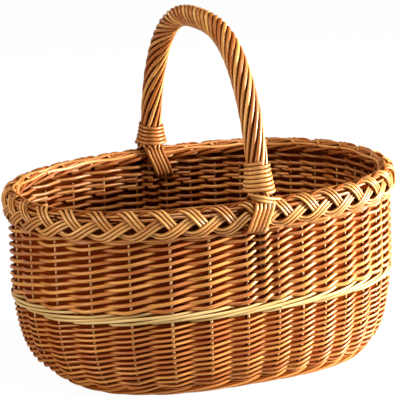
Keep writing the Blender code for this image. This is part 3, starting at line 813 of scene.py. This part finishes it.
def make_plait(wood):
    rim = RIM_LENGTHS[-1]
    period = rim * PLAIT_STRANDS / PLAIT_COUNT
    steps = PLAIT_COUNT * PLAIT_POINTS // PLAIT_STRANDS
    rods = []
    for strand in range(PLAIT_STRANDS):
        for number in range(PLAIT_RODS):
            aside = (number - (PLAIT_RODS - 1) / 2) * PLAIT_ROD_PITCH
            points = []
            outs = []
            for step in range(steps + 1):
                even = 2 * math.pi * (step / PLAIT_POINTS + strand / PLAIT_STRANDS)
                turn = even - PLAIT_SKEW * (math.cos(even) - 1)
                pace = 1 + PLAIT_SKEW * math.sin(even)
                slope = -PLAIT_SWING * math.sin(turn) * pace * 2 * math.pi / period
                length = rim * step / steps - aside * slope / math.hypot(1, slope)
                arc = PLAIT_MIDDLE + PLAIT_SWING * math.cos(turn) + aside / math.hypot(1, slope)
                lift = PLAIT_LIFT * (math.sin(2 * turn) + PLAIT_LEAD * math.sin(turn))
                point, normal = border_place(length, arc, lift)
                points.append(point)
                outs.append(normal)
            radii = [PLAIT_ROD_RADIUS] * len(points)
            rods.append(Rod(points, outs, radii, chance.uniform(0.25, 0.95)))
    rods += core_rods() + inner_rods() + hidden_rows() + crown_rods()
    thing = lay_rods("plaited_border", rods, 8)
    settle(thing, wood["border"], ["border_plait"])


def core_rods():
    """Straight rods inside the plait, coloured near black all over as painted shade inside it."""
    rods = []
    for out_share, up_share in ((0.3, -0.7), (0.3, -0.25), (0.3, 0.2), (-0.35, 0.62), (0.4, 0.72)):
        points = []
        outs = []
        for step in range(RING_STEPS // 6 + 1):
            direction = rim_direction(RIM_LENGTHS[-1] * step * 6 / RING_STEPS)
            out = wall_out(direction, run_at(BORDER_MIDDLE))
            middle = wall_line(direction, run_at(BORDER_MIDDLE))
            place = out * (PLAIT_HALF_THICKNESS * out_share) + UP * (PLAIT_HALF_HEIGHT * up_share)
            points.append(middle + out * BORDER_OVERHANG + place)
            outs.append(UP)
        rods.append(Rod(points, outs, [CORE_RADIUS] * len(points), 0.1, [CORE_SHADE_DEPTH] * len(points)))
    return rods


def hidden_rows():
    """The last rows of the wall, behind the plait, which show inside the basket."""
    legged, legs = uprights_with_legs()
    low = run_at(BORDER_BOTTOM)
    rods = siding_rods(legged, legs, low, low + HIDDEN_ROWS * TOP_WALE_RADIUS * 2, HIDDEN_ROWS, TOP_WALE_RADIUS)
    # Their tone is lowered: painted shade behind the plait
    for rod in rods:
        rod.tone *= 0.4
    return rods


def crown_rods():
    """Long rods that follow the rim, two inside the crests of the plait and one along its lower edge."""
    rods = []
    for arc, lift in CROWN_PLACES:
        points = []
        outs = []
        for step in range(RING_STEPS // 4 + 1):
            length = RIM_LENGTHS[-1] * step * 4 / RING_STEPS
            sway = 0.0007 * math.sin(length * 97 + arc * 900)
            point, normal = border_place(length, arc + sway, lift)
            points.append(point)
            outs.append(normal)
        radii = [INNER_ROD_RADIUS * (1 + 0.08 * math.sin(number / 5)) for number in range(len(points))]
        rods.append(Rod(points, outs, radii, chance.uniform(0.2, 0.6)))
    return rods


def inner_rods():
    """Long rods inside the rim, in pairs, each rising from under the pair before it."""
    plait = RIM_LENGTHS[-1] / PLAIT_COUNT
    rods = []
    for stroke in range(PLAIT_COUNT):
        for number in range(INNER_STROKE_RODS):
            points = []
            outs = []
            for step in range(21):
                part = step / 20
                length = (stroke - INNER_STROKE_PLAITS * part) * plait
                arc = INNER_LOW_ARC + (INNER_HIGH_ARC - INNER_LOW_ARC) * part + number * INNER_ROD_RADIUS * 1.9
                lift = INNER_LIFT * (2 * min(1, 5 * part, 6 * (1 - part)) - 1)
                point, normal = border_place(length % RIM_LENGTHS[-1], arc, lift)
                points.append(point)
                outs.append(normal)
            radii = taper(len(points), INNER_ROD_RADIUS, INNER_TIP_RADIUS)
            # Low tones and INNER_SHADE paint these rods darker, as shade inside the rim
            rods.append(Rod(points, outs, radii, chance.uniform(-0.6, 0.3), [INNER_SHADE] * len(points)))
    return rods


# Handle


def bow_line():
    """Points along the bow, from its foot at the front border to its foot at the back."""
    rise = BOW_TOP - BOW_SPRING
    start = math.asin(((ROPE_FOOT_HEIGHT - BOW_SPRING) / rise) ** (BOW_CROWN_SQUARENESS / 2))
    half = []
    for step in range(RING_STEPS + 1):
        angle = start + (math.pi / 2 - start) * step / RING_STEPS
        across = BOW_HALF_WIDTH * max(math.cos(angle), 0) ** (2 / BOW_SIDE_SQUARENESS)
        height = BOW_SPRING + rise * math.sin(angle) ** (2 / BOW_CROWN_SQUARENESS)
        half.append(Vector((BOW_SHIFT, -across, height)))
    half[-1].y = 0
    return half + [Vector((BOW_SHIFT, -point.y, point.z)) for point in reversed(half[:-1])]


BOW_POINTS = bow_line()
BOW_LENGTHS = [0.0]
for bow_here, bow_there in zip(BOW_POINTS, BOW_POINTS[1:]):
    BOW_LENGTHS.append(BOW_LENGTHS[-1] + (bow_there - bow_here).length)
BOW_LENGTH = BOW_LENGTHS[-1]


def bow_frame(distance):
    """Point on the bow and its outward direction, at a distance from the front foot."""
    step = min(max(bisect_right(BOW_LENGTHS, distance) - 1, 0), len(BOW_LENGTHS) - 2)
    low = BOW_POINTS[step]
    high = BOW_POINTS[step + 1]
    part = (distance - BOW_LENGTHS[step]) / (BOW_LENGTHS[step + 1] - BOW_LENGTHS[step])
    before = BOW_POINTS[max(step - 4, 0)]
    after = BOW_POINTS[min(step + 5, len(BOW_POINTS) - 1)]
    tangent = (after - before).normalized()
    return low.lerp(high, part), Vector((0, -tangent.z, tangent.y))


def leg_reach(height):
    """Half the distance between the legs where they lean in through the border."""
    share = (height - BORDER_BOTTOM) / (ROPE_FOOT_HEIGHT - BORDER_BOTTOM)
    return RIM_HALF_WIDTH + (abs(BOW_POINTS[0].y) - RIM_HALF_WIDTH) * max(share, 0)


def make_bow(material):
    tip = BAND_TOP + BOW_TIP_CLEARANCE
    leg = [
        (tip, BOW_TIP_RADIUS),
        (BORDER_BOTTOM, BOW_SHOULDER_RADIUS),
        (BORDER_TOP, BOW_BORDER_RADIUS),
    ]
    points = [Vector((BOW_SHIFT, -leg_reach(height), height)) for height, radius in leg]
    radii = [radius for height, radius in leg]
    for step in range(61):
        points.append(bow_frame(BOW_LENGTH * step / 60)[0])
        radii.append(BOW_RADIUS)
    points += [Vector((BOW_SHIFT, leg_reach(height), height)) for height, radius in reversed(leg)]
    radii += [radius for height, radius in reversed(leg)]
    rod = Rod(points, [Vector((1, 0, 0))] * len(points), radii, 0.4)
    thing = lay_rods("bow_stick", [rod], 12)
    settle(thing, material, ["handle_bow"])


def rope_twist(distance):
    """How far the rope has turned round the bow, slower at the feet than over the crown."""
    share = distance / BOW_LENGTH
    foot = ROPE_FOOT_TWIST_SHARE
    slow = foot * share
    fast = (1 - foot) * (share / 2 - math.sin(2 * math.pi * share) / (4 * math.pi))
    return ROPE_HALF_TURNS * math.pi * (slow + fast) / (foot + (1 - foot) / 2)


def tail_places(number, leg_side, border_side):
    """Where a rope rod passes from the wall, up over the border, to its leg."""
    clear = BORDER_OVERHANG * border_side + PLAIT_HALF_THICKNESS + PLAIT_LIFT + PLAIT_ROD_RADIUS + ROPE_TAIL_RADIUS
    quarter = BORDER_HALF_HEIGHT / 2
    ring_out = ROPE_RADIUS * abs(math.cos(number * math.pi / ROPE_RODS_EACH))
    shoulder = BORDER_TOP - ROPE_TAIL_RADIUS
    crest = BORDER_TOP + ROPE_TAIL_RADIUS
    shoulder_inset = (RIM_HALF_WIDTH - leg_reach(shoulder)) * border_side
    crest_inset = (RIM_HALF_WIDTH - leg_reach(crest)) * border_side
    beside_leg = BOW_BORDER_RADIUS + ROPE_TAIL_RADIUS
    places = [
        (BORDER_BOTTOM + TAIL_TUCK, clear * 0.4, 1.0),
        (BORDER_BOTTOM + 2 * TAIL_TUCK, clear * 0.92, 0.8),
        (BORDER_MIDDLE, clear, 0.5),
        (BORDER_MIDDLE + quarter, clear, 0.25),
        (shoulder, max(clear - ROPE_TAIL_RADIUS, beside_leg - shoulder_inset), 0.1),
        (crest, (ring_out + 2 * ROPE_RADIUS) / 3 - crest_inset, 0.0),
    ]
    line = []
    for height, out, lean in places:
        pitch = TAIL_PITCH if border_side > 0 else INNER_TAIL_PITCH
        across = BOW_SHIFT + border_side * (number * pitch - TAIL_LEAN * lean)
        line.append(Vector((across, leg_side * (RIM_HALF_WIDTH + border_side * out), height)))
    return line


def make_rope(material):
    """Ten rods wound as a rope, five with their butts outside the front leg and five outside the back one."""
    spacing = math.pi / ROPE_RODS_EACH
    right = Vector((1, 0, 0))
    for rod in range(ROPE_RODS_EACH):
        number = rod - (ROPE_RODS_EACH - 1) / 2
        places = tail_places(number, -1, 1)
        steep = len(places)
        for step in range(ROPE_POINTS + 1):
            distance = BOW_LENGTH * step / ROPE_POINTS
            turned = number * spacing + rope_twist(distance)
            axis, bow_out = bow_frame(distance)
            places.append(axis + (bow_out * math.cos(turned) + right * math.sin(turned)) * ROPE_RADIUS)
        places += reversed(tail_places(number, 1, -1))
        points = smooth_line(places, 2)
        outs = []
        for point in points:
            near = Vector((BOW_SHIFT, point.y, point.z))
            step = min(range(0, len(BOW_POINTS), 12), key=lambda place: (BOW_POINTS[place] - near).length)
            outs.append((point - BOW_POINTS[step]).normalized() if point.z > BORDER_TOP else Vector((0, -1, 0)))
        radii = taper(len(points), ROPE_BUTT_RADIUS, ROPE_TIP_RADIUS)
        for place in range(2 * steep):
            radii[place] = ROPE_TAIL_RADIUS + (radii[place] - ROPE_TAIL_RADIUS) * (place / (2 * steep)) ** 2
            last = len(radii) - 1 - place
            radii[last] = ROPE_TAIL_RADIUS + (radii[last] - ROPE_TAIL_RADIUS) * (place / (2 * steep)) ** 2
        depths = [1.0] * len(points)
        for place in range(2 * steep):
            depths[len(points) - 1 - place] = INNER_TAIL_SHADE
        for half in range(2):
            turned_points = [Vector((2 * BOW_SHIFT - p.x, -p.y, p.z)) if half else p for p in points]
            turned_outs = [Vector((-o.x, -o.y, o.z)) if half else o for o in outs]
            name = f"{rod + 1 + half * ROPE_RODS_EACH:02d}"
            laid = Rod(turned_points, turned_outs, radii, chance.uniform(0.1, 0.9), depths)
            settle(lay_rods(f"roped_rod_{name}", [laid], 10), material, [f"rope_rod_{name}"])


def make_lashing(name, from_front, turns, tone, material, node):
    points = []
    outs = []
    radii = []
    count = turns * LASH_POINTS_PER_TURN
    for step in range(count + 1):
        climb = LASH_START + LASH_PITCH * step / LASH_POINTS_PER_TURN
        distance = climb if from_front else BOW_LENGTH - climb
        axis, outward = bow_frame(distance)
        angle = 2 * math.pi * step / LASH_POINTS_PER_TURN
        around = outward * math.cos(angle) + Vector((math.sin(angle), 0, 0))
        waist = 1 + LASH_FLARE * (1 - step / count) ** 1.5 + 0.012 * math.sin(step * 0.9)
        points.append(axis + around * (LASH_COIL_RADIUS * waist))
        outs.append(around)
        radii.append(LASH_RADIUS * (1.08 - 0.16 * step / count))
    coil = Rod(points, outs, radii, tone)
    thing = lay_rods(name, [coil] + lashing_ends(from_front), 10)
    settle(thing, material, [node])


def lashing_ends(from_front):
    """The lashing's tucked ends: short lengths crossing under its first turn."""
    side = -1 if from_front else 1
    base = Vector((BOW_SHIFT, side * leg_reach(BORDER_TOP), BORDER_TOP + LASH_START))
    rods = []
    for lift, reach in ((0.0, 1.0), (0.0038, 0.8)):
        places = [
            base + Vector((-0.0150 * reach, side * 0.0060, 0.0050 - lift)),
            base + Vector((-0.0060, side * 0.0165, 0.0030 - lift)),
            base + Vector((0.0060, side * 0.0160, -0.0005 - lift)),
            base + Vector((0.0185 * reach, side * 0.0090, -0.0035 - lift)),
        ]
        points = smooth_line(places, 6)
        outs = [Vector((0, side, 0))] * len(points)
        rods.append(Rod(points, outs, taper(len(points), LASH_RADIUS, LASH_RADIUS * 0.8), chance.uniform(0.5, 0.9)))
    return rods


# Base


def base_ring(share, turn):
    """A point between the crossed middle of the base, at share 0, and its edge, at share 1."""
    inner = oval_radius(turn, CROSSED_HALF_LENGTH, CROSSED_HALF_WIDTH, BASE_SQUARENESS)
    outer = wall_line(turn, 0).xy.length - BASE_EDGE
    radius = inner + (outer - inner) * share
    return Vector((radius * math.cos(turn), radius * math.sin(turn), BASE_MIDDLE))


def stick_halves():
    """Each base stick: its name, where it starts to splay, its end there, how it mirrors, and its height."""
    sticks = []
    for number in range(LONG_STICKS):
        aside = (number - (LONG_STICKS - 1) / 2) * LONG_PITCH
        near = Vector((CROSSED_HALF_LENGTH, aside, 0))
        far = Vector((BASE_HALF_LENGTH - LONG_STICK_COVER, aside * LONG_SPLAY_SHARE, 0))
        sticks.append((f"long_{number + 1}", near, far, Vector((-1, 1, 1)), LONG_STICK_HEIGHT))
    for number in range(CROSS_STICKS):
        aside = (number - (CROSS_STICKS - 1) / 2) * CROSS_PITCH
        splayed = aside * CROSS_SPLAY_SHARE
        reach = (1 - abs(splayed / BASE_HALF_LENGTH) ** BASE_SQUARENESS) ** (1 / BASE_SQUARENESS)
        near = Vector((aside, CROSSED_HALF_WIDTH, 0))
        far = Vector((splayed, BASE_HALF_WIDTH * reach - CROSS_STICK_COVER, 0))
        sticks.append((f"cross_{number + 1}", near, far, Vector((1, -1, 1)), CROSS_STICK_HEIGHT))
    return sticks


def base_crossings(share):
    """Directions at which the sticks cross a row of the base, in order, with the height of the stick there."""
    found = {}
    turns = [2 * math.pi * step / RING_STEPS for step in range(RING_STEPS + 1)]
    row = [base_ring(share, turn) for turn in turns]
    for _, start, end, mirror, height in stick_halves():
        for near, far in ((start, end), (start * mirror, end * mirror)):
            way = far - near
            sides = [way.cross(point - near).z for point in row]
            for step in range(RING_STEPS):
                if sides[step] * sides[step + 1] <= 0 and way.dot(row[step] - near) > 0:
                    found[turns[step]] = height
    return sorted(found.items())


def make_sticks(material):
    """The seven sticks of the base, whittled flat, the long ones over the cross ones."""
    for name, near, far, mirror, height in stick_halves():
        corners = [far * mirror, near * mirror, near, far]
        points = [corners[0].lerp(corners[1], step / STICK_POINTS) for step in range(STICK_POINTS)]
        points += [corners[1].lerp(corners[2], step / STICK_POINTS) for step in range(STICK_POINTS)]
        points += [corners[2].lerp(corners[3], step / STICK_POINTS) for step in range(STICK_POINTS + 1)]
        points = [point + UP * height for point in points]
        rod = Rod(points, [UP] * len(points), [STICK_THICKNESS / 2] * len(points), chance.uniform(0.2, 0.7))
        rod.presses = [STICK_WIDTH / STICK_THICKNESS - 1] * len(points)
        settle(lay_rods(f"willow_stick_{name}", [rod], 12), material, [f"base_stick_{name}"])


def make_base(wood):
    rods = []
    steps = 144
    for row in range(BASE_ROWS):
        share = (row + 0.5) / BASE_ROWS
        crossings = base_crossings(share)
        count = len(crossings)
        turns = [turn for turn, _ in crossings]
        for layer in (1, -1):
            points = []
            outs = []
            presses = []
            for step in range(steps + 1):
                turn = 2 * math.pi * step / steps
                gap = (base_ring(1, turn) - base_ring(0, turn)).length / BASE_ROWS
                presses.append(max(BASE_FILL / 2 * gap / BASE_ROD_RADIUS - 1, 0))
                passed = bisect_right(turns, turn)
                low = turns[passed - 1] - (2 * math.pi if passed == 0 else 0)
                high = turns[passed % count] + (2 * math.pi if passed == count else 0)
                part = (turn - low) / (high - low)
                low_height = crossings[passed - 1][1]
                middle = low_height + (crossings[passed % count][1] - low_height) * part
                lift = layer * BASE_LIFT * wave(passed + part)
                points.append(base_ring(share, turn) + UP * (middle + lift - BASE_MIDDLE))
                outs.append(UP)
            rod = Rod(points, outs, [BASE_ROD_RADIUS] * len(points), chance.betavariate(2, 2))
            rod.presses = presses
            rods.append(rod)
    # Slips between the long sticks, coloured dark as painted shade in the gaps
    for number in range(LONG_STICKS - 1):
        aside = (number - LONG_STICKS / 2 + 1) * LONG_PITCH
        corners = [Vector((side * CROSSED_HALF_LENGTH, aside, BASE_MIDDLE)) for side in (-1, 1)]
        points = [corners[0].lerp(corners[1], step / steps) for step in range(steps + 1)]
        slip = Rod(points, [UP] * len(points), [BASE_SLIP_RADIUS] * len(points), 0.0, [0.1] * len(points))
        slip.presses = [0.8] * len(points)
        rods.append(slip)
    thing = lay_rods("base_rows", rods, 6)
    settle(thing, wood["base"], ["base_weave"])


# Stage


def make_materials():
    # Each willow's third colour is its painted shade colour, which its leaf scars share
    return {
        "stake": willow("stake_willow", (0.55, 0.20, 0.045), (0.86, 0.50, 0.20), (0.16, 0.022, 0.003), 0.6),
        "lower": willow("lower_willow", (0.42, 0.085, 0.010), (0.80, 0.33, 0.064), (0.115, 0.011, 0.001)),
        "upper": willow("upper_willow", (0.42, 0.090, 0.011), (0.80, 0.345, 0.070), (0.115, 0.011, 0.001)),
        "cream": willow("cream_willow", (0.46, 0.22, 0.040), (0.92, 0.67, 0.28), (0.12, 0.022, 0.002), 1.0),
        "foot": willow("foot_willow", (0.42, 0.095, 0.013), (0.78, 0.31, 0.065), (0.115, 0.012, 0.001)),
        "border": willow("border_willow", (0.40, 0.110, 0.015), (0.84, 0.42, 0.115), (0.12, 0.014, 0.001)),
        "rope": willow("rope_willow", (0.46, 0.125, 0.018), (0.88, 0.45, 0.120), (0.10, 0.012, 0.001), 0.97),
        "lash": willow("lashing_willow", (0.50, 0.17, 0.030), (0.84, 0.45, 0.130), (0.12, 0.014, 0.001)),
        "bow": willow("bow_willow", (0.13, 0.042, 0.013), (0.26, 0.095, 0.030), (0.03, 0.007, 0.003)),
        "base": willow("base_willow", (0.34, 0.085, 0.014), (0.60, 0.22, 0.050), (0.10, 0.012, 0.001)),
        "stick": willow("stick_willow", (0.26, 0.080, 0.016), (0.46, 0.17, 0.044), (0.08, 0.011, 0.002)),
    }


def make_stage():
    bpy.ops.mesh.primitive_plane_add(size=8)
    floor = bpy.context.object
    floor.name = "floor"
    material = bpy.data.materials.new("pale_floor")
    material.use_nodes = True
    tree = material.node_tree
    shader = tree.nodes["Principled BSDF"]
    shader.inputs["Base Color"].default_value = (0.5, 0.5, 0.5, 1)
    shader.inputs["Roughness"].default_value = 1.0
    glow = tree.nodes.new("ShaderNodeEmission")
    glow.inputs["Color"].default_value = (1, 1, 1, 1)
    glow.inputs["Strength"].default_value = 1.12
    rays = tree.nodes.new("ShaderNodeLightPath")
    seen = math_node(tree, "MULTIPLY", rays.outputs["Is Camera Ray"], 0.86)
    mixed = tree.nodes.new("ShaderNodeMixShader")
    link(tree, seen, mixed.inputs["Fac"])
    link(tree, shader.outputs["BSDF"], mixed.inputs[1])
    link(tree, glow.outputs["Emission"], mixed.inputs[2])
    link(tree, mixed.outputs["Shader"], tree.nodes["Material Output"].inputs["Surface"])
    floor.data.materials.append(material)

    world = bpy.data.worlds.new("studio")
    bpy.context.scene.world = world
    world.use_nodes = True
    tree = world.node_tree
    sky = tree.nodes["Background"]
    sky.inputs["Color"].default_value = (1, 1, 1, 1)
    rays = tree.nodes.new("ShaderNodeLightPath")
    strength = math_node(tree, "MULTIPLY", rays.outputs["Is Camera Ray"], 1 - SKY_STRENGTH)
    strength = math_node(tree, "ADD", strength, SKY_STRENGTH)
    link(tree, strength, sky.inputs["Strength"])


def add_lamp(name, way, distance, size, power, colour):
    lamp = bpy.data.lights.new(name, "AREA")
    lamp.shape = "DISK"
    lamp.size = size
    lamp.energy = power
    lamp.color = colour
    thing = bpy.data.objects.new(name, lamp)
    bpy.context.scene.collection.objects.link(thing)
    way = Vector(way).normalized()
    thing.location = Vector((0, 0, 0.15)) + way * distance
    thing.rotation_euler = way.to_track_quat("Z", "Y").to_euler()


def make_camera():
    azimuth = math.radians(VIEW_AZIMUTH)
    elevation = math.radians(VIEW_ELEVATION)
    roll = math.radians(VIEW_ROLL)
    back = Vector((math.sin(azimuth) * math.cos(elevation), -math.cos(azimuth) * math.cos(elevation), math.sin(elevation)))
    right = Vector((math.cos(azimuth), math.sin(azimuth), 0))
    up = back.cross(right)
    turned_right = right * math.cos(roll) + up * math.sin(roll)
    turned_up = up * math.cos(roll) - right * math.sin(roll)
    camera = bpy.data.cameras.new("photo_view")
    camera.sensor_width = SENSOR_WIDTH
    camera.lens = VIEW_FOCAL_PIXELS / PHOTO_PIXELS * SENSOR_WIDTH
    thing = bpy.data.objects.new("photo_view", camera)
    bpy.context.scene.collection.objects.link(thing)
    place = Vector(VIEW_TARGET) + back * VIEW_DISTANCE
    thing.matrix_world = Matrix(
        (
            (turned_right.x, turned_up.x, back.x, place.x),
            (turned_right.y, turned_up.y, back.y, place.y),
            (turned_right.z, turned_up.z, back.z, place.z),
            (0, 0, 0, 1),
        )
    )
    bpy.context.scene.camera = thing


def main():
    wood = make_materials()
    make_stakes(wood["stake"])
    make_wall(wood)
    make_plait(wood)
    make_bow(wood["bow"])
    make_rope(wood["rope"])
    make_lashing("near_lashing", True, NEAR_LASH_TURNS, 0.4, wood["lash"], "lashing_near")
    # The far lashing's low tone is painted shade on the back leg
    make_lashing("far_lashing", False, FAR_LASH_TURNS, -0.6, wood["lash"], "lashing_far")
    make_base(wood)
    make_sticks(wood["stick"])
    make_stage()
    add_lamp("key", (0.90, -0.38, 0.11), 1.8, 0.3, 115, (1.0, 0.97, 0.93))
    add_lamp("fill", (-0.98, -0.14, 0.16), 2.2, 0.8, 25, (1.0, 0.90, 0.78))
    add_lamp("top", (0.05, -0.45, 0.89), 2.0, 0.8, 27, (1.0, 0.95, 0.88))
    add_lamp("rear", (-0.25, 0.90, 0.35), 2.2, 1.0, 4, (1.0, 0.95, 0.88))
    make_camera()
    bpy.context.scene.view_settings.view_transform = "Standard"


main()
